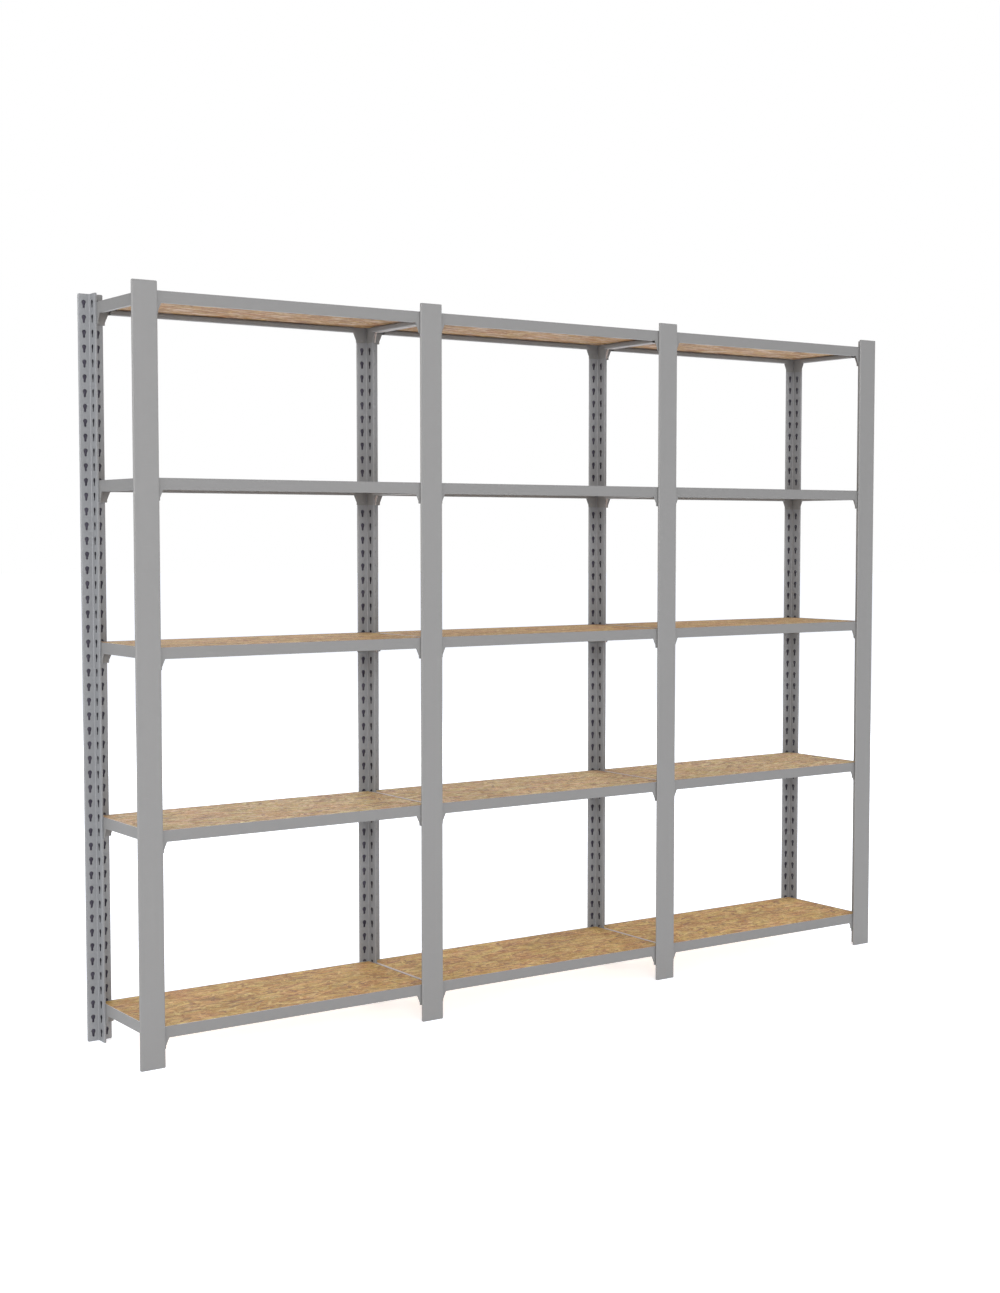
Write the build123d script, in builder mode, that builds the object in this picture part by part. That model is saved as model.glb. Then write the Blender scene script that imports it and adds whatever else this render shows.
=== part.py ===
from build123d import *
import os

# Boltless shelving run: three bays side by side, five shelf levels, eight T-section posts.
# Millimetres. X runs along the bays, Y from the front (-) to the rear (+), Z up from the floor.

# ---------------------------------------------------------------- driving dimensions
BAYS = 3
BAY_PITCH = 850.0             # web centre to web centre of neighbouring posts
DEPTH = 350.0                 # front flange face to rear flange face
HEIGHT = 2000.0

SHEET = 1.5                   # post strip thickness
FLANGE_W = 70.0
FLANGE_T = 6.5                # folded flange, outer sheet to inner sheet
WEB_T = 6.0                   # folded web, two layers with a gap
POST_D = 42.0                 # flange face to web tip
WEB_ROOT_R = 2.0              # outside bend where the flange turns into the web
TIP_R = 1.2
SEAM = 0.5                    # gap between the two strip edges at the web tip
CORNER_CUT = 3.0              # clipped hem corners at each end of a post

HOLE_PITCH = 39.0
HOLE_FIRST = 23.0             # lowest keyhole above the floor
HOLES = 51
HEAD_R = 5.8                  # round head of a keyhole
HEAD_UP = 4.9                 # head centre above the keyhole centre
SLOT_W = 6.0                  # narrow neck below the head
SEAT_DOWN = 7.7               # rivet seat below the keyhole centre
TAPER_DOWN = 3.4              # where the taper meets the neck
FLANGE_COL_X = 19.0           # flange keyhole columns each side of the web
WEB_COL_Y = FLANGE_T + 17.0   # web keyhole column from the flange face

LEVEL_HOLES = [2, 15, 27, 38, 50]   # keyhole index that each shelf level hangs in
BEAM_TOP_UP = 4.0             # beam top edge above that keyhole's centre

PLATE_T = 2.0                 # beam face plate
BEAM_H = 30.0
EAR_H = 58.0                  # height of the plate where it hooks on the post
EAR_OUT_LOW = 4.0             # ear beyond the flange edge or web tip, low down
EAR_OUT_TOP = 13.0            # the same where it runs into the beam
EAR_SLANT = 20.5              # height of the sloping edge
EAR_R = 2.0
LEDGE_DOWN = 14.5             # shelf ledge below the beam top
STEP_D = 14.0                 # beam depth, plate included
STEP_T = 1.5                  # sheet of the step section
STEP_R = 6.5                  # outside bend at the ledge
STEP_R_LOW = 2.5
LONG_START = 7.0              # long plate starts this far from the web centre
LONG_STEP_START = 50.5        # its step section starts here
SIDE_START = 9.0              # side plate starts this far from the flange face
SIDE_STEP_START = 58.0        # its step section starts here

RIVET_R = 2.9
RIVET_HEAD_R = 5.3
RIVET_HEAD_T = 2.0            # head inside the flange fold
WEB_RIVET_HEAD_T = 1.3        # thinner head inside the web fold
RIVET_EDGE = 0.4

BOARD_T = 14.0
BOARD_SIDE_GAP = 5.5          # board edge from the web centre
BOARD_LONG_GAP = 0.5          # board edge from the long plates
BOARD_EDGE = 0.6

# ---------------------------------------------------------------- derived places
post_x = [(i - BAYS / 2) * BAY_PITCH for i in range(BAYS + 1)]
y_front = -DEPTH / 2
y_rear = DEPTH / 2
hole_z = [HOLE_FIRST + HOLE_PITCH * k for k in range(HOLES)]
level_top = [hole_z[k] + BEAM_TOP_UP for k in LEVEL_HOLES]
hole_mid_z = (hole_z[0] + hole_z[-1]) / 2

os.makedirs("parts", exist_ok=True)

# ---------------------------------------------------------------- one keyhole profile
with BuildSketch(Plane.XY) as keyhole:
    with BuildLine():
        head_low_x, head_low_y = 4.9, HEAD_UP - (HEAD_R ** 2 - 4.9 ** 2) ** 0.5
        ThreePointArc((head_low_x, head_low_y), (0, HEAD_UP + HEAD_R), (-head_low_x, head_low_y))
        Line((-head_low_x, head_low_y), (-SLOT_W / 2, -TAPER_DOWN))
        Line((-SLOT_W / 2, -TAPER_DOWN), (-SLOT_W / 2, -SEAT_DOWN))
        ThreePointArc((-SLOT_W / 2, -SEAT_DOWN), (0, -SEAT_DOWN - SLOT_W / 2), (SLOT_W / 2, -SEAT_DOWN))
        Line((SLOT_W / 2, -SEAT_DOWN), (SLOT_W / 2, -TAPER_DOWN))
        Line((SLOT_W / 2, -TAPER_DOWN), (head_low_x, head_low_y))
    make_face()

# ---------------------------------------------------------------- post, flange face at y = 0 and facing -Y
flange_plane = Plane(origin=(0, FLANGE_T, hole_mid_z), x_dir=(1, 0, 0), z_dir=(0, -1, 0))
web_plane = Plane(origin=(0, WEB_COL_Y, hole_mid_z), x_dir=(0, 1, 0), z_dir=(1, 0, 0))
end_plane = Plane(origin=(0, 0, 0), x_dir=(1, 0, 0), z_dir=(0, -1, 0))

with BuildPart() as post:
    # folded T section: outer flange, hems, inner flange halves and the double web
    with BuildSketch(Plane.XY) as section:
        with BuildLine():
            Polyline(
                (-FLANGE_W / 2, 0), (FLANGE_W / 2, 0), (FLANGE_W / 2, FLANGE_T),
                (WEB_T / 2, FLANGE_T), (WEB_T / 2, POST_D), (-WEB_T / 2, POST_D),
                (-WEB_T / 2, FLANGE_T), (-FLANGE_W / 2, FLANGE_T), close=True,
            )
        make_face()
        hems = section.vertices().filter_by(lambda v: abs(abs(v.X) - FLANGE_W / 2) < 0.01)
        fillet(hems, radius=FLANGE_T / 2 - 0.05)
        roots = section.vertices().filter_by(lambda v: abs(abs(v.X) - WEB_T / 2) < 0.01 and abs(v.Y - FLANGE_T) < 0.01)
        fillet(roots, radius=WEB_ROOT_R)
        tips = section.vertices().filter_by(lambda v: abs(abs(v.X) - WEB_T / 2) < 0.01 and abs(v.Y - POST_D) < 0.01)
        fillet(tips, radius=TIP_R)
        offset(amount=-SHEET, kind=Kind.INTERSECTION, mode=Mode.SUBTRACT)
        with Locations((0, POST_D)):
            Rectangle(SEAM, 4 * SHEET, mode=Mode.SUBTRACT)
    extrude(amount=HEIGHT)
    # hem corners clipped at the top and the foot
    with BuildSketch(end_plane):
        for sx in (-1, 1):
            for z_end, sz in ((0, 1), (HEIGHT, -1)):
                with BuildLine():
                    Polyline(
                        (sx * (FLANGE_W / 2 + 1), z_end - sz), (sx * (FLANGE_W / 2 - CORNER_CUT), z_end - sz),
                        (sx * (FLANGE_W / 2 - CORNER_CUT), z_end), (sx * FLANGE_W / 2, z_end + sz * CORNER_CUT),
                        (sx * (FLANGE_W / 2 + 1), z_end + sz * CORNER_CUT), close=True,
                    )
                make_face()
    extrude(amount=-(FLANGE_T + 1), mode=Mode.SUBTRACT)
    # keyhole columns through the inner flange sheet, one each side of the web
    with BuildSketch(flange_plane):
        with GridLocations(2 * FLANGE_COL_X, HOLE_PITCH, 2, HOLES):
            add(keyhole.sketch)
    extrude(amount=SHEET + 0.5, mode=Mode.SUBTRACT)
    # keyhole column through both layers of the web
    with BuildSketch(web_plane):
        with GridLocations(1, HOLE_PITCH, 1, HOLES):
            add(keyhole.sketch)
    extrude(amount=WEB_T, both=True, mode=Mode.SUBTRACT)

for i, x in enumerate(post_x, start=1):
    with BuildPart() as post_front:
        with Locations((x, y_front, 0)):
            add(post.part)
    post_front.part.label = f"post_front_{i}"
    export_step(post_front.part, f"parts/post_front_{i}.step")
    with BuildPart() as post_rear:
        with Locations(Location((x, y_rear, 0), (0, 0, 180))):
            add(post.part)
    post_rear.part.label = f"post_rear_{i}"
    export_step(post_rear.part, f"parts/post_rear_{i}.step")


# ---------------------------------------------------------------- beams
# A beam lies along its own x, centred on x = 0, with its face plate's outside at y = 0,
# its depth towards +y and its top edge at z = 0.
RIVET_Z = [-BEAM_TOP_UP - SEAT_DOWN, -BEAM_TOP_UP - SEAT_DOWN - HOLE_PITCH]


def make_beam(half_plate, half_step, ear_low, ear_top, rivet_x):
    with BuildPart() as beam:
        # face plate with a hooking ear at each end
        with BuildSketch(Plane(origin=(0, 0, 0), x_dir=(1, 0, 0), z_dir=(0, -1, 0))) as face:
            with BuildLine():
                Polyline(
                    (-half_plate, 0), (half_plate, 0), (half_plate, -EAR_H), (ear_low, -EAR_H),
                    (ear_low, -BEAM_H - EAR_SLANT), (ear_top, -BEAM_H), (-ear_top, -BEAM_H),
                    (-ear_low, -BEAM_H - EAR_SLANT), (-ear_low, -EAR_H), (-half_plate, -EAR_H), close=True,
                )
            make_face()
            fillet(face.vertices().filter_by(lambda v: abs(v.Y + EAR_H) < 0.01), radius=EAR_R)
            with Locations(*[(sx * rivet_x, z) for sx in (-1, 1) for z in RIVET_Z]):
                Circle(RIVET_R, mode=Mode.SUBTRACT)
        extrude(amount=-PLATE_T)
        # step section behind the plate: ledge, inner wall and bottom
        with BuildSketch(Plane(origin=(-half_step, 0, 0), x_dir=(0, 1, 0), z_dir=(1, 0, 0))) as step:
            with Locations(((PLATE_T + STEP_D) / 2, -(LEDGE_DOWN + BEAM_H) / 2)):
                Rectangle(STEP_D - PLATE_T, BEAM_H - LEDGE_DOWN)
            outer_top = step.vertices().filter_by(lambda v: abs(v.X - STEP_D) < 0.01 and v.Y > -(LEDGE_DOWN + 1))
            fillet(outer_top, radius=STEP_R)
            outer_low = step.vertices().filter_by(lambda v: abs(v.X - STEP_D) < 0.01 and v.Y < -(BEAM_H - 1))
            fillet(outer_low, radius=STEP_R_LOW)
            with BuildLine():
                in_x, in_top, in_low = STEP_D - STEP_T, -LEDGE_DOWN - STEP_T, -BEAM_H + STEP_T
                r_top, r_low = STEP_R - STEP_T, STEP_R_LOW - STEP_T
                Line((PLATE_T, in_top), (in_x - r_top, in_top))
                RadiusArc((in_x - r_top, in_top), (in_x, in_top - r_top), r_top)
                Line((in_x, in_top - r_top), (in_x, in_low + r_low))
                RadiusArc((in_x, in_low + r_low), (in_x - r_low, in_low), r_low)
                Line((in_x - r_low, in_low), (PLATE_T, in_low))
                Line((PLATE_T, in_low), (PLATE_T, in_top))
            make_face(mode=Mode.SUBTRACT)
        extrude(amount=2 * half_step)
    return beam.part


long_half = BAY_PITCH / 2 - LONG_START
long_step_half = BAY_PITCH / 2 - LONG_STEP_START
long_beam = make_beam(
    long_half, long_step_half,
    BAY_PITCH / 2 - FLANGE_W / 2 - EAR_OUT_LOW, BAY_PITCH / 2 - FLANGE_W / 2 - EAR_OUT_TOP,
    BAY_PITCH / 2 - FLANGE_COL_X,
)
side_half = DEPTH / 2 - SIDE_START
side_step_half = DEPTH / 2 - SIDE_STEP_START
side_beam = make_beam(
    side_half, side_step_half,
    DEPTH / 2 - POST_D - EAR_OUT_LOW, DEPTH / 2 - POST_D - EAR_OUT_TOP,
    DEPTH / 2 - WEB_COL_Y,
)

for b in range(BAYS):
    bay_mid = (post_x[b] + post_x[b + 1]) / 2
    for n, top in enumerate(level_top, start=1):
        with BuildPart() as front_beam:
            with Locations((bay_mid, y_front + FLANGE_T, top)):
                add(long_beam)
        front_beam.part.label = f"beam_front_bay{b + 1}_level{n}"
        export_step(front_beam.part, f"parts/beam_front_bay{b + 1}_level{n}.step")
        with BuildPart() as rear_beam:
            with Locations(Location((bay_mid, y_rear - FLANGE_T, top), (0, 0, 180))):
                add(long_beam)
        rear_beam.part.label = f"beam_rear_bay{b + 1}_level{n}"
        export_step(rear_beam.part, f"parts/beam_rear_bay{b + 1}_level{n}.step")

for n, top in enumerate(level_top, start=1):
    with BuildPart() as side_beams:
        for b in range(BAYS):
            left_face = post_x[b] + WEB_T / 2
            right_face = post_x[b + 1] - WEB_T / 2
            with Locations(Location((left_face, 0, top), (0, 0, -90)), Location((right_face, 0, top), (0, 0, 90))):
                add(side_beam)
    side_beams.part.label = f"side_beams_level{n}"
    export_step(side_beams.part, f"parts/side_beams_level{n}.step")

# ---------------------------------------------------------------- rivets
# Axis along y, shank through the plate (y = 0 to PLATE_T) and the post sheet (y = -SHEET to 0).


def make_rivet(head_t):
    with BuildPart() as rivet:
        with BuildSketch(Plane(origin=(0, PLATE_T, 0), x_dir=(1, 0, 0), z_dir=(0, -1, 0))):
            Circle(RIVET_R)
        extrude(amount=PLATE_T + SHEET)
        with BuildSketch(Plane(origin=(0, -SHEET, 0), x_dir=(1, 0, 0), z_dir=(0, -1, 0))):
            Circle(RIVET_HEAD_R)
        extrude(amount=head_t)
        chamfer(rivet.edges().group_by(Axis.Y)[0], length=RIVET_EDGE)
    return rivet.part


flange_rivet = make_rivet(RIVET_HEAD_T)
web_rivet = make_rivet(WEB_RIVET_HEAD_T)

front_places, rear_places, side_left_places, side_right_places = [], [], [], []
for b in range(BAYS):
    for top in level_top:
        for z in RIVET_Z:
            for x in (post_x[b] + FLANGE_COL_X, post_x[b + 1] - FLANGE_COL_X):
                front_places.append(Location((x, y_front + FLANGE_T, top + z)))
                rear_places.append(Location((x, y_rear - FLANGE_T, top + z), (0, 0, 180)))
            for y in (y_front + WEB_COL_Y, y_rear - WEB_COL_Y):
                side_left_places.append(Location((post_x[b] + WEB_T / 2, y, top + z), (0, 0, -90)))
                side_right_places.append(Location((post_x[b + 1] - WEB_T / 2, y, top + z), (0, 0, 90)))

with BuildPart() as rivets_long_beams:
    with Locations(*front_places, *rear_places):
        add(flange_rivet)
rivets_long_beams.part.label = "rivets_long_beams"
export_step(rivets_long_beams.part, "parts/rivets_long_beams.step")

with BuildPart() as rivets_side_beams:
    with Locations(*side_left_places, *side_right_places):
        add(web_rivet)
rivets_side_beams.part.label = "rivets_side_beams"
export_step(rivets_side_beams.part, "parts/rivets_side_beams.step")

# ---------------------------------------------------------------- shelf boards
board_w = BAY_PITCH - 2 * BOARD_SIDE_GAP
board_d = DEPTH - 2 * (FLANGE_T + PLATE_T + BOARD_LONG_GAP)
for b in range(BAYS):
    bay_mid = (post_x[b] + post_x[b + 1]) / 2
    for n, top in enumerate(level_top, start=1):
        with BuildPart() as board:
            with BuildSketch(Plane.XY.offset(top - LEDGE_DOWN)):
                with Locations((bay_mid, 0)):
                    Rectangle(board_w, board_d)
            extrude(amount=BOARD_T)
            chamfer(board.edges(), length=BOARD_EDGE)
        board.part.label = f"board_bay{b + 1}_level{n}"
        export_step(board.part, f"parts/board_bay{b + 1}_level{n}.step")
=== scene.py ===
import bpy
import math
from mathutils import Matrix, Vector


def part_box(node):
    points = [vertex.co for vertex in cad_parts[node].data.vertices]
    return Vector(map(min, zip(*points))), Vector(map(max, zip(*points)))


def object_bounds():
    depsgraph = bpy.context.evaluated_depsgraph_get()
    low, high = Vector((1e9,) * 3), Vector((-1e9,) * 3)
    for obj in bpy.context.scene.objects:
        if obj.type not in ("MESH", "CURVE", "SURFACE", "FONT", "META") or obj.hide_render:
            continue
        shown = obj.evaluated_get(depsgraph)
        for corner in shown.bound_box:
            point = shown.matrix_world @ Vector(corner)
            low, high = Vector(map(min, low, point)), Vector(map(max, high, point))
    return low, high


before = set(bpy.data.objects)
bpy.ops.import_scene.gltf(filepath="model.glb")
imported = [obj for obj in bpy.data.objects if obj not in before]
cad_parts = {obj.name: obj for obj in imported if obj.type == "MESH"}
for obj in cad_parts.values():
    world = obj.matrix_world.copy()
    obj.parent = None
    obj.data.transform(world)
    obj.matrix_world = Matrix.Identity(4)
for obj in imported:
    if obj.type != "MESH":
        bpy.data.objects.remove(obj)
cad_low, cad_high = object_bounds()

BAYS, LEVELS = 3, 5

# ------------------------------------------------------------------ camera
# Front left of the run, a little above the middle shelf, looking slightly down.
floor_z = cad_low.z
cam_data = bpy.data.cameras.new("camera")
cam = bpy.data.objects.new("camera", cam_data)
bpy.context.collection.objects.link(cam)
bpy.context.scene.camera = cam
left_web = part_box("post_front_1")
web_x = (left_web[0][0] + left_web[1][0]) / 2
cam.location = (web_x - 1.9471, cad_low.y - 4.3394, floor_z + 1.368)
yaw, pitch = math.radians(34.899), math.radians(3.474)
look = Vector((math.sin(yaw) * math.cos(pitch), math.cos(yaw) * math.cos(pitch), -math.sin(pitch)))
cam.rotation_mode = "QUATERNION"
cam.rotation_quaternion = look.to_track_quat("-Z", "Y")
cam_data.sensor_width = 36.0
cam_data.lens = 1857.44 / 1293 * 36.0
cam_data.clip_start, cam_data.clip_end = 0.05, 200.0
cam_data.dof.use_dof = False


# ------------------------------------------------------------------ node helpers
class Tree:
    """Small helper that adds nodes to a material and links them."""

    def __init__(self, name):
        self.mat = bpy.data.materials.new(name)
        self.mat.use_nodes = True
        self.nt = self.mat.node_tree
        self.nt.nodes.clear()
        self.out = self.nt.nodes.new("ShaderNodeOutputMaterial")
        self.bsdf = self.nt.nodes.new("ShaderNodeBsdfPrincipled")
        self.nt.links.new(self.bsdf.outputs[0], self.out.inputs[0])

    def put(self, socket, value):
        if isinstance(value, bpy.types.NodeSocket):
            self.nt.links.new(value, socket)
        elif value is not None:
            socket.default_value = value

    def node(self, kind, **settings):
        n = self.nt.nodes.new(kind)
        for k, v in settings.items():
            setattr(n, k, v)
        return n

    def math(self, op, a, b=None, c=None, clamp=False):
        n = self.node("ShaderNodeMath", operation=op, use_clamp=clamp)
        for i, v in enumerate((a, b, c)):
            if v is not None:
                self.put(n.inputs[i], v)
        return n.outputs[0]

    def vmath(self, op, a, b=None, scale=None):
        n = self.node("ShaderNodeVectorMath", operation=op)
        self.put(n.inputs[0], a)
        if b is not None:
            self.put(n.inputs[1], b)
        if scale is not None:
            self.put(n.inputs["Scale"], scale)
        return n.outputs[0]

    def coords(self, which="Object"):
        return self.node("ShaderNodeTexCoord").outputs[which]

    def mapping(self, vec, loc=(0, 0, 0), rot=(0, 0, 0), scale=(1, 1, 1), kind="POINT"):
        n = self.node("ShaderNodeMapping", vector_type=kind)
        self.put(n.inputs["Vector"], vec)
        n.inputs["Location"].default_value = loc
        n.inputs["Rotation"].default_value = rot
        n.inputs["Scale"].default_value = scale
        return n.outputs[0]

    def noise(self, vec, scale=1.0, detail=2.0, rough=0.5, distort=0.0, dims="3D"):
        n = self.node("ShaderNodeTexNoise", noise_dimensions=dims)
        self.put(n.inputs["Vector"], vec)
        n.inputs["Scale"].default_value = scale
        n.inputs["Detail"].default_value = detail
        n.inputs["Roughness"].default_value = rough
        n.inputs["Distortion"].default_value = distort
        return n.outputs["Fac"]

    def span(self, value, lo, hi, to_lo=0.0, to_hi=1.0, smooth=False):
        n = self.node("ShaderNodeMapRange", clamp=True)
        n.interpolation_type = "SMOOTHSTEP" if smooth else "LINEAR"
        self.put(n.inputs["Value"], value)
        n.inputs["From Min"].default_value = lo
        n.inputs["From Max"].default_value = hi
        n.inputs["To Min"].default_value = to_lo
        n.inputs["To Max"].default_value = to_hi
        return n.outputs["Result"]

    def mix(self, fac, a, b, blend="MIX"):
        n = self.node("ShaderNodeMix", data_type="RGBA", blend_type=blend)
        self.put(n.inputs[0], fac)
        self.put(n.inputs[6], a)
        self.put(n.inputs[7], b)
        return n.outputs[2]

    def mixf(self, fac, a, b):
        n = self.node("ShaderNodeMix", data_type="FLOAT")
        self.put(n.inputs[0], fac)
        self.put(n.inputs[2], a)
        self.put(n.inputs[3], b)
        return n.outputs[0]

    def ramp(self, value, stops, mode="LINEAR"):
        n = self.node("ShaderNodeValToRGB")
        n.color_ramp.interpolation = mode
        els = n.color_ramp.elements
        while len(els) > 1:
            els.remove(els[-1])
        els[0].position, els[0].color = stops[0][0], (*stops[0][1], 1)
        for p, c in stops[1:]:
            e = els.new(p)
            e.color = (*c, 1)
        self.put(n.inputs[0], value)
        return n.outputs[0]

    def bump(self, height, distance, strength=1.0, normal=None):
        n = self.node("ShaderNodeBump")
        n.inputs["Strength"].default_value = strength
        n.inputs["Distance"].default_value = distance
        self.put(n.inputs["Height"], height)
        if normal is not None:
            self.put(n.inputs["Normal"], normal)
        return n.outputs[0]

    def bevel(self, radius, samples=4):
        n = self.node("ShaderNodeBevel", samples=samples)
        n.inputs["Radius"].default_value = radius
        return n.outputs[0]


def lin(r, g, b):
    """sRGB 0-255 to the linear values that a shader takes."""
    return tuple(((c / 255) / 12.92) if c / 255 <= 0.04045 else (((c / 255) + 0.055) / 1.055) ** 2.4 for c in (r, g, b))


# ------------------------------------------------------------------ powder-coated steel
def painted(name, tone, axis, folded=False):
    """Semi-matt grey powder coat over roll-formed strip; axis is the rolling direction."""
    t = Tree(name)
    p = t.coords()
    # slow change of coat thickness, cloudy mottling and the fine grain of the powder
    slow = t.noise(p, 2.2, 3.0, 0.55)
    cloud = t.noise(p, 38.0, 3.0, 0.6)
    grain = t.noise(p, 1500.0, 2.0, 0.6)
    # faint lines left by the rolls, running along the strip
    stretch = {"z": (260.0, 260.0, 1.3), "x": (1.3, 260.0, 260.0), "y": (260.0, 1.3, 260.0)}[axis]
    rolls = t.noise(t.mapping(p, scale=stretch), 1.0, 2.0, 0.5)
    shade = t.math("ADD", t.span(slow, 0.3, 0.7, -0.022, 0.022), t.span(cloud, 0.3, 0.7, -0.020, 0.020))
    shade = t.math("ADD", shade, t.span(grain, 0.25, 0.75, -0.026, 0.026))
    shade = t.math("ADD", shade, t.span(rolls, 0.3, 0.7, -0.014, 0.014))
    base = lin(*tone)
    dark = tuple(c * 0.80 for c in base)
    light = tuple(min(1.0, c * 1.20) for c in base)
    col = t.mix(t.math("ADD", shade, 0.5, clamp=True), (*dark, 1), (*light, 1))
    # thin coat and handling rub on the edges: the rounded normal leaves the true one only near an edge
    round_n = t.bevel(0.0011)
    true_n = t.node("ShaderNodeNewGeometry").outputs["True Normal"]
    edge = t.math("SUBTRACT", 1.0, t.vmath_dot(round_n, true_n))
    edge_amount = t.span(edge, 0.02, 0.22, 0.0, 1.0)
    rub = t.span(t.noise(p, 90.0, 4.0, 0.65), 0.50, 0.68, 0.0, 1.0)
    wear = t.math("MULTIPLY", t.math("MULTIPLY", edge_amount, rub), 0.55)
    worn = tuple(min(1.0, c * 1.55) for c in base)
    col = t.mix(wear, col, (*worn, 1))
    # a few fine scuffs from shelves being slid in
    scuff_map = t.mapping(p, rot=(0.3, 0.5, 0.9), scale=(14.0, 14.0, 420.0))
    scuff = t.span(t.noise(scuff_map, 1.0, 3.0, 0.7), 0.665, 0.70, 0.0, 0.14)
    col = t.mix(scuff, col, (*worn, 1))
    if axis in "xy":
        # upward faces of the beams: painted highlight, a paler coat where light falls from above, varied by the cloudy
        # mottle
        up = t.node("ShaderNodeSeparateXYZ")
        t.put(up.inputs[0], true_n)
        painted_top_highlight = t.math("MULTIPLY", t.span(up.outputs[2], 0.80, 0.95, 0.0, 1.0), t.span(cloud, 0.30, 0.70, 0.70, 1.0))
        col = t.mix(painted_top_highlight, col, (*lin(206, 197, 199), 1))
    if axis == "y":
        # where two side beams stand back to back between the bays, their facing walls are lightened as painted light
        # against the shade in the slot
        here = t.node("ShaderNodeSeparateXYZ")
        t.put(here.inputs[0], p)
        off = t.math("ABSOLUTE", t.math("SUBTRACT", t.math("MODULO", t.math("ADD", here.outputs[0], 4.25), 0.85), 0.425))
        painted_slot_light = t.math("MULTIPLY", t.math("LESS_THAN", off, 0.0032), t.math("LESS_THAN", t.math("ABSOLUTE", here.outputs[0]), 1.0))
        col = t.mix(painted_slot_light, col, (*lin(212, 200, 194), 1))
    if folded:
        # the coat does not reach inside the folded flange and web: uncoated mill steel there, darkened as painted
        # shade; the coated walls of the keyholes get the same painted shade
        sep = t.node("ShaderNodeSeparateXYZ")
        t.put(sep.inputs[0], p)
        across = t.math("ABSOLUTE", t.math("SUBTRACT", t.math("MODULO", t.math("ADD", sep.outputs[0], 4.25), 0.85), 0.425))
        deep = t.math("SUBTRACT", 0.175, t.math("ABSOLUTE", sep.outputs[1]))
        in_flange = t.math("MULTIPLY", t.math("LESS_THAN", across, 0.0338),
                           t.math("MULTIPLY", t.math("GREATER_THAN", deep, 0.00142), t.math("LESS_THAN", deep, 0.00508)))
        in_web = t.math("MULTIPLY", t.math("LESS_THAN", across, 0.00158),
                        t.math("MULTIPLY", t.math("GREATER_THAN", deep, 0.0048), t.math("LESS_THAN", deep, 0.0407)))
        # the cut walls of the keyholes in flange and web are coated sheet; they are darkened as painted shade
        shaded_hole_wall = t.math("MULTIPLY", t.math("LESS_THAN", across, 0.0310),
                           t.math("MULTIPLY", t.math("GREATER_THAN", deep, 0.00508), t.math("LESS_THAN", deep, 0.00643)))
        shaded_web_wall = t.math("MULTIPLY", t.math("LESS_THAN", across, 0.00294),
                          t.math("MULTIPLY", t.math("GREATER_THAN", deep, 0.0090), t.math("LESS_THAN", deep, 0.0385)))
        floor_of_fold = t.math("MULTIPLY", in_flange, t.math("LESS_THAN", deep, 0.0020))
        uncoated_and_painted_shade = t.math("MAXIMUM", t.math("MAXIMUM", in_flange, in_web), t.math("MAXIMUM", shaded_hole_wall, shaded_web_wall))
        mill_in_painted_shade = t.mix(t.span(cloud, 0.3, 0.7), (*lin(52, 48, 60), 1), (*lin(76, 72, 84), 1))
        mill_in_deep_painted_shade = t.mix(t.span(grain, 0.3, 0.7), (*lin(24, 22, 32), 1), (*lin(42, 39, 50), 1))
        # painted shade: near-black over the fold interiors and keyhole walls, a dark mill grey on the floor of the fold
        col = t.mix(uncoated_and_painted_shade, col, mill_in_deep_painted_shade)
        col = t.mix(floor_of_fold, col, mill_in_painted_shade)
    t.put(t.bsdf.inputs["Base Color"], col)
    rough = t.math("ADD", t.span(cloud, 0.3, 0.7, 0.40, 0.47), t.span(grain, 0.3, 0.7, -0.03, 0.03))
    t.put(t.bsdf.inputs["Roughness"], t.mixf(wear, rough, 0.34))
    t.bsdf.inputs["Metallic"].default_value = 0.0
    t.bsdf.inputs["IOR"].default_value = 1.5
    # orange peel, powder grain and the roll lines as relief
    peel = t.noise(p, 420.0, 2.0, 0.5)
    relief = t.math("ADD", t.math("MULTIPLY", peel, 0.6), t.math("MULTIPLY", grain, 0.25))
    relief = t.math("ADD", relief, t.math("MULTIPLY", rolls, 0.25))
    t.put(t.bsdf.inputs["Normal"], t.bump(relief, 0.00022, 0.55, round_n))
    return t.mat


def _vdot(self, a, b):
    n = self.node("ShaderNodeVectorMath", operation="DOT_PRODUCT")
    self.put(n.inputs[0], a)
    self.put(n.inputs[1], b)
    return n.outputs["Value"]


Tree.vmath_dot = _vdot


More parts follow.
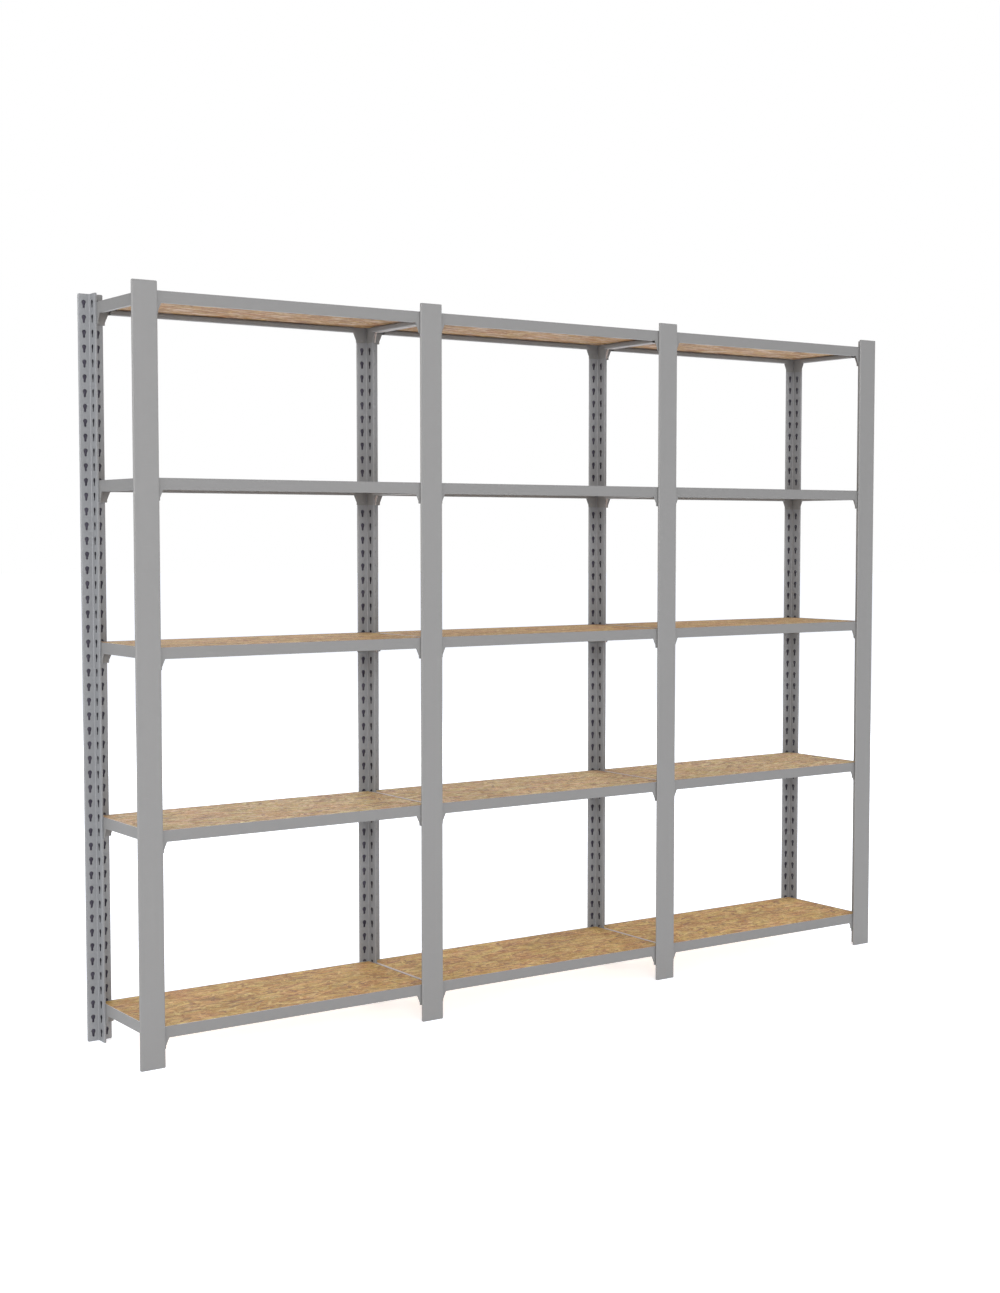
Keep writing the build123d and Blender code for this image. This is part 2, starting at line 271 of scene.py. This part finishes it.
# ------------------------------------------------------------------ oriented strand board
def strand_board(name, tint, pale):
    """Pressed wood strands in overlapping layers, mostly along the board, with resin flecks and a cut edge."""
    t = Tree(name)
    p = t.coords()
    sep = t.node("ShaderNodeSeparateXYZ")
    t.put(sep.inputs[0], p)
    # each face of each board gets its own stretch of the pattern
    sheet = t.math("FLOOR", t.math("ADD", t.math("MULTIPLY", sep.outputs[2], 100.0), 0.32))
    comb = t.node("ShaderNodeCombineXYZ")
    t.put(comb.inputs[0], t.math("ADD", sep.outputs[0], t.math("MULTIPLY", sheet, 0.3713)))
    t.put(comb.inputs[1], t.math("ADD", sep.outputs[1], t.math("MULTIPLY", sheet, 0.2391)))
    flat = comb.outputs[0]
    # ragged strand edges
    jag_n = t.node("ShaderNodeTexNoise", noise_dimensions="2D")
    t.put(jag_n.inputs["Vector"], flat)
    jag_n.inputs["Scale"].default_value = 75.0
    jag_n.inputs["Detail"].default_value = 4.0
    jag_n.inputs["Roughness"].default_value = 0.65
    jag = t.vmath("SCALE", t.vmath("SUBTRACT", jag_n.outputs["Color"], (0.5, 0.5, 0.5)), scale=0.010)
    bent = t.vmath("ADD", flat, jag)

    # angle (deg), strand length, strand width, bias of the layer's height
    layers = [
        (4, 0.088, 0.014, 0.00), (-13, 0.076, 0.011, 0.04), (24, 0.066, 0.015, 0.02),
        (-38, 0.066, 0.010, -0.01), (61, 0.054, 0.012, -0.04), (-78, 0.048, 0.009, -0.07), (12, 0.046, 0.005, 0.05),
    ]
    top_h, top_tone, top_grain, top_hue, top_rim_shade = None, None, None, None, None
    for i, (deg, length, width, bias) in enumerate(layers):
        # rotate into the strand's own direction, then squeeze so that a cell is one strand
        turned = t.mapping(bent, loc=(0.173 * i + 0.31, 0.117 * i + 0.57, 0), rot=(0, 0, math.radians(-deg)))
        cell_p = t.vmath("MULTIPLY", turned, (1 / length, 1 / width, 1.0))
        vor = t.node("ShaderNodeTexVoronoi", voronoi_dimensions="2D", feature="F1", distance="CHEBYCHEV")
        t.put(vor.inputs["Vector"], cell_p)
        vor.inputs["Scale"].default_value = 1.0
        vor.inputs["Randomness"].default_value = 0.92
        rgb = t.node("ShaderNodeSeparateColor")
        t.put(rgb.inputs[0], vor.outputs["Color"])
        inside = t.span(vor.outputs["Distance"], 0.40, 0.47, 1.0, 0.0)
        # painted shade: a darker band along the outline of each strand
        strand_rim_shade = t.math("MULTIPLY", t.span(vor.outputs["Distance"], 0.33, 0.40, 0.0, 1.0), t.span(vor.outputs["Distance"], 0.41, 0.46, 1.0, 0.0))
        h = t.math("MULTIPLY", t.math("ADD", rgb.outputs[0], bias), inside)
        # grain of the strand: fine lines along it, shifted per strand
        shift = t.vmath("SCALE", vor.outputs["Color"], scale=7.0)
        g_p = t.vmath("ADD", t.vmath("MULTIPLY", turned, (30.0, 620.0, 1.0)), shift)
        grain = t.noise(g_p, 1.0, 3.0, 0.6, dims="2D")
        if top_h is None:
            top_h, top_tone, top_grain, top_hue, top_rim_shade = h, rgb.outputs[1], grain, rgb.outputs[2], strand_rim_shade
        else:
            over = t.math("GREATER_THAN", h, top_h)
            top_tone = t.mixf(over, top_tone, rgb.outputs[1])
            top_hue = t.mixf(over, top_hue, rgb.outputs[2])
            top_grain = t.mixf(over, top_grain, grain)
            top_rim_shade = t.mixf(over, top_rim_shade, strand_rim_shade)
            top_h = t.math("MAXIMUM", h, top_h)

    # strand colours: straw, tan, reddish brown and a few grey-violet ones
    strand_col = t.ramp(top_tone, [
        (0.00, lin(222, 194, 150)), (0.22, lin(205, 170, 122)), (0.45, lin(192, 150, 102)),
        (0.62, lin(216, 190, 152)), (0.76, lin(186, 142, 100)), (0.88, lin(172, 134, 106)), (1.00, lin(150, 116, 102)),
    ])
    grain_dark = t.span(top_grain, 0.34, 0.66, 0.74, 1.14)
    g_rgb = t.node("ShaderNodeCombineColor")
    for i in range(3):
        t.put(g_rgb.inputs[i], grain_dark)
    col = t.mix(1.0, strand_col, g_rgb.outputs[0], "MULTIPLY")
    # heartwood tint on part of the strands
    col = t.mix(t.span(top_hue, 0.80, 0.95, 0.0, 0.35), col, (*lin(150, 108, 84), 1))
    # painted shade along the outline of the top strand
    col = t.mix(t.math("MULTIPLY", top_rim_shade, 0.30), col, (*lin(138, 100, 78), 1))
    # low places between strands are darker: resin and fines, and painted shade in the gaps
    gap_fines_and_shade = t.span(top_h, 0.10, 0.42, 1.0, 0.0)
    col = t.mix(t.math("MULTIPLY", gap_fines_and_shade, 0.40), col, (*lin(122, 92, 68), 1))
    fleck_n = t.noise(t.vmath("MULTIPLY", turned_flat(t, flat, 7), (160.0, 620.0, 1.0)), 1.0, 3.0, 0.7, dims="2D")
    fleck = t.span(fleck_n, 0.63, 0.68, 0.0, 0.72)
    col = t.mix(fleck, col, (*lin(96, 66, 60), 1))
    # long reddish-grey bark streaks
    bark_p = t.vmath("MULTIPLY", turned_flat(t, bent, 5), (17.0, 95.0, 1.0))
    bark = t.math("MULTIPLY", t.span(t.noise(bark_p, 1.0, 4.0, 0.62, dims="2D"), 0.60, 0.67, 0.0, 0.34), t.span(top_grain, 0.35, 0.6, 0.55, 1.0))
    col = t.mix(bark, col, (*lin(128, 98, 92), 1))
    pale_n = t.noise(t.vmath("MULTIPLY", turned_flat(t, flat, -9), (60.0, 300.0, 1.0)), 1.0, 3.0, 0.6, dims="2D")
    col = t.mix(t.span(pale_n, 0.55, 0.66, 0.0, pale), col, (*lin(226, 208, 184), 1))
    # pressed-in streaks a few millimetres wide, light and dark, at two slight angles
    streak_a = t.noise(t.vmath("MULTIPLY", turned_flat(t, bent, 8), (15.0, 118.0, 1.0)), 1.0, 3.0, 0.6, dims="2D")
    streak_b = t.noise(t.vmath("MULTIPLY", turned_flat(t, bent, -15), (30.0, 230.0, 1.0)), 1.0, 3.0, 0.6, dims="2D")
    streak = t.math("MULTIPLY", t.span(streak_a, 0.32, 0.68, 0.90, 1.10), t.span(streak_b, 0.32, 0.68, 0.87, 1.13))
    s_rgb = t.node("ShaderNodeCombineColor")
    for i, keep in enumerate((0.85, 1.0, 1.15)):
        t.put(s_rgb.inputs[i], t.math("POWER", streak, keep))
    col = t.mix(1.0, col, s_rgb.outputs[0], "MULTIPLY")
    # clusters of redder and of yellower strands
    warm_n = t.noise(t.vmath("MULTIPLY", turned_flat(t, bent, 10), (9.0, 34.0, 1.0)), 1.0, 3.0, 0.6, dims="2D")
    w_rgb = t.node("ShaderNodeCombineColor")
    for i, (a, b) in enumerate(((1.02, 1.03), (1.06, 0.92), (0.96, 0.97))):
        t.put(w_rgb.inputs[i], t.span(warm_n, 0.40, 0.62, a, b))
    col = t.mix(1.0, col, w_rgb.outputs[0], "MULTIPLY")
    # slow change of tone over the board
    tone = t.noise(flat, 3.0, 2.0, 0.5, dims="2D")
    t_rgb = t.node("ShaderNodeCombineColor")
    for i, (a, b) in enumerate(((0.93, 1.07), (0.92, 1.06), (0.88, 1.04))):
        t.put(t_rgb.inputs[i], t.span(tone, 0.3, 0.7, a, b))
    face_col = t.mix(1.0, col, t_rgb.outputs[0], "MULTIPLY")
    # the lower face is the coarser one: long whitish strands and thin dark ones between them
    nrm = t.node("ShaderNodeSeparateXYZ")
    t.put(nrm.inputs[0], t.node("ShaderNodeNewGeometry").outputs["True Normal"])
    below = t.span(nrm.outputs[2], -0.8, -0.5, 1.0, 0.0)
    long_a = t.noise(t.vmath("MULTIPLY", turned_flat(t, bent, 6), (11.0, 62.0, 1.0)), 1.0, 3.0, 0.62, dims="2D")
    long_b = t.noise(t.vmath("MULTIPLY", turned_flat(t, bent, -11), (14.0, 84.0, 1.0)), 1.0, 3.0, 0.62, dims="2D")
    whitish = t.math("MULTIPLY", t.span(long_a, 0.52, 0.60, 0.0, 0.85), below)
    face_col = t.mix(whitish, face_col, (*lin(232, 214, 204), 1))
    thin_dark = t.math("MULTIPLY", t.span(long_b, 0.57, 0.64, 0.0, 0.60), below)
    face_col = t.mix(thin_dark, face_col, (*lin(128, 92, 70), 1))
    face_col = t.mix(1.0, face_col, (*tint, 1), "MULTIPLY")

    # the sawn edge: strand ends pressed into thin dark and light layers
    edge_p = t.mapping(p, scale=(55.0, 55.0, 1500.0))
    edge_n = t.noise(edge_p, 1.0, 4.0, 0.65)
    edge_col = t.ramp(edge_n, [
        (0.30, lin(98, 70, 48)), (0.42, lin(158, 120, 82)), (0.52, lin(196, 160, 116)), (0.62, lin(214, 186, 146)), (0.75, lin(150, 110, 76)),
    ])
    is_edge = t.span(t.math("ABSOLUTE", nrm.outputs[2]), 0.55, 0.75, 1.0, 0.0)
    t.put(t.bsdf.inputs["Base Color"], t.mix(is_edge, face_col, edge_col))

    rough = t.math("ADD", t.span(top_grain, 0.3, 0.7, 0.80, 0.70), t.math("MULTIPLY", gap_fines_and_shade, 0.12))
    t.bsdf.inputs["Specular IOR Level"].default_value = 0.28
    t.put(t.bsdf.inputs["Roughness"], t.mixf(is_edge, rough, 0.88))
    t.bsdf.inputs["IOR"].default_value = 1.45
    face_h = t.math("ADD", top_h, t.math("MULTIPLY", top_grain, 0.16))
    height = t.mixf(is_edge, face_h, edge_n)
    t.put(t.bsdf.inputs["Normal"], t.bump(height, 0.00055, 0.8, t.bevel(0.0006)))
    return t.mat


def turned_flat(t, flat, deg):
    return t.mapping(flat, rot=(0, 0, math.radians(-deg)))


# ------------------------------------------------------------------ give each CAD node its finish
STEEL = (119, 118, 117)
BEAM_STEEL = (115, 114, 113)
# the rear posts take a lighter copy of the same grey paint: painted light against the shade they stand in
REAR_STEEL_PAINTED_LIGHTER = (126, 127, 129)
post_mat = painted("powder_coat_posts", STEEL, "z", folded=True)
rear_post_mat_painted_lighter = painted("powder_coat_rear_posts_painted_lighter", REAR_STEEL_PAINTED_LIGHTER, "z", folded=True)
long_mat = painted("powder_coat_long_beams", BEAM_STEEL, "x")
side_mat = painted("powder_coat_side_beams", STEEL, "y")
rivet_mat = painted("powder_coat_rivets", STEEL, "z")
# the boards come from different batches: the lowest ones are the most golden, the next ones the palest; the two highest
# levels are darkened as painted shade
BOARD_TINT_AND_SHADE = {1: (0.98, 0.98, 0.80), 2: (1.02, 1.15, 1.24), 3: (0.97, 1.00, 0.92), 4: (0.82, 0.81, 0.72), 5: (0.64, 0.59, 0.50)}
BOARD_PALE = {1: 0.40, 2: 0.62, 3: 0.50, 4: 0.55, 5: 0.80}
board_mats = {n: strand_board("oriented_strand_board_level%d" % n, tint, BOARD_PALE[n]) for n, tint in BOARD_TINT_AND_SHADE.items()}


def finish_of(node):
    if node.startswith("post_rear"):
        return rear_post_mat_painted_lighter
    if node.startswith("post_"):
        return post_mat
    if node.startswith("beam_"):
        return long_mat
    if node.startswith("side_"):
        return side_mat
    if node.startswith("board_"):
        return board_mats[int(node[-1])]
    return rivet_mat


for node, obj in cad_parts.items():
    mat = finish_of(node)
    if not obj.material_slots:
        obj.data.materials.append(mat)
    for s in obj.material_slots:
        s.material = mat

# ------------------------------------------------------------------ floor, world and lights
floor_mesh = bpy.data.meshes.new("floor")
sides, radius = 96, 60.0
verts = [(0, 0, floor_z)] + [(radius * math.cos(2 * math.pi * i / sides), radius * math.sin(2 * math.pi * i / sides), floor_z) for i in range(sides)]
faces = [(0, 1 + i, 1 + (i + 1) % sides) for i in range(sides)]
floor_mesh.from_pydata(verts, [], faces)
floor = bpy.data.objects.new("floor", floor_mesh)
bpy.context.collection.objects.link(floor)
ft = Tree("pale_floor")
fcol = ft.mix(ft.span(ft.noise(ft.coords(), 1.1, 3.0, 0.5), 0.3, 0.7), (0.915, 0.93, 0.95, 1), (0.935, 0.95, 0.97, 1))
ft.put(ft.bsdf.inputs["Base Color"], fcol)
ft.bsdf.inputs["Roughness"].default_value = 0.9
ft.bsdf.inputs["Emission Color"].default_value = (0.90, 0.93, 1.0, 1)
ft.bsdf.inputs["Emission Strength"].default_value = 0.60
ft.bsdf.inputs["Specular IOR Level"].default_value = 0.1
floor_mesh.materials.append(ft.mat)

world = bpy.data.worlds.new("studio")
bpy.context.scene.world = world
world.use_nodes = True
wn = world.node_tree
wn.nodes.clear()
w_out = wn.nodes.new("ShaderNodeOutputWorld")
w_bg = wn.nodes.new("ShaderNodeBackground")
w_bg.inputs["Color"].default_value = (1.0, 1.0, 1.0, 1)
w_bg.inputs["Strength"].default_value = 0.52
w_seen = wn.nodes.new("ShaderNodeBackground")
w_seen.inputs["Color"].default_value = (1.0, 1.0, 1.0, 1)
w_seen.inputs["Strength"].default_value = 1.0
w_path = wn.nodes.new("ShaderNodeLightPath")
w_mix = wn.nodes.new("ShaderNodeMixShader")
wn.links.new(w_path.outputs["Is Camera Ray"], w_mix.inputs[0])
wn.links.new(w_bg.outputs[0], w_mix.inputs[1])
wn.links.new(w_seen.outputs[0], w_mix.inputs[2])
wn.links.new(w_mix.outputs[0], w_out.inputs[0])

mid = (cad_low + cad_high) / 2


def softbox(name, place, size, power):
    data = bpy.data.lights.new(name, "AREA")
    data.shape = "RECTANGLE"
    data.size, data.size_y = size
    data.energy = power
    ob = bpy.data.objects.new(name, data)
    ob.location = place
    ob.rotation_mode = "QUATERNION"
    ob.rotation_quaternion = (mid - Vector(place)).to_track_quat("-Z", "Y")
    bpy.context.collection.objects.link(ob)
    return ob


softbox("key", (-4.6, -9.4, 2.9), (5.0, 3.6), 600)
softbox("left", (-8.0, -2.6, 3.0), (3.6, 3.2), 200)
softbox("fill", (5.0, -7.5, 3.0), (4.0, 3.0), 60)
softbox("right", (8.0, 1.5, 3.0), (3.6, 3.2), 160)
softbox("top", (0.0, 0.5, 7.0), (6.0, 5.0), 45)
softbox("back", (1.5, 7.5, 3.4), (5.0, 3.4), 180)

view = bpy.context.scene.view_settings
view.view_transform = "Standard"
view.look = "None"
view.exposure = 0.0
view.gamma = 1.0
